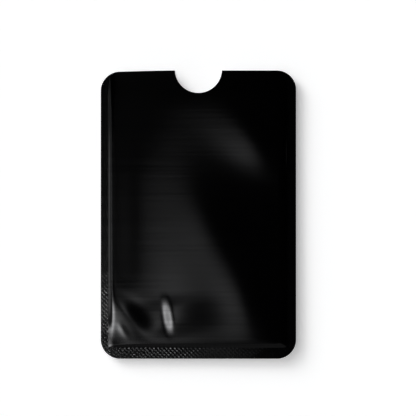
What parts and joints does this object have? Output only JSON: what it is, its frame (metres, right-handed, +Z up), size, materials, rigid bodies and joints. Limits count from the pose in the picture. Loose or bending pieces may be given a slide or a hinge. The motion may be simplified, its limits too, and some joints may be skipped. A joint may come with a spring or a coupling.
{
  "type": "card sleeve",
  "caption": "Flat card sleeve of black laminated film over shielding foil, heat sealed along its sides and bottom, with rounded corners and a thumb notch at the open mouth.",
  "frame": {"origin": "centre of the outline, on the surface that the back wall lies on", "axes": "+X across the sleeve, +Y along it towards the open mouth, +Z up out of the front wall"},
  "size_m": [0.061, 0.09, 0.0033],
  "materials": {
    "outer_film": "black polyester film, satin gloss with very fine lines across it",
    "foil": "bright rolled foil",
    "liner": "clear heat-sealing film, seen silver over the foil",
    "seal": "liner melted together and pressed flat"
  },
  "bodies": {
    "root": {"front_film": "outer_film", "front_foil": "foil", "front_liner": "liner", "back_film": "outer_film", "back_foil": "foil", "back_liner": "liner", "left_seal": "seal", "right_seal": "seal", "bottom_seal": "seal"}
  },
  "joints": []
}
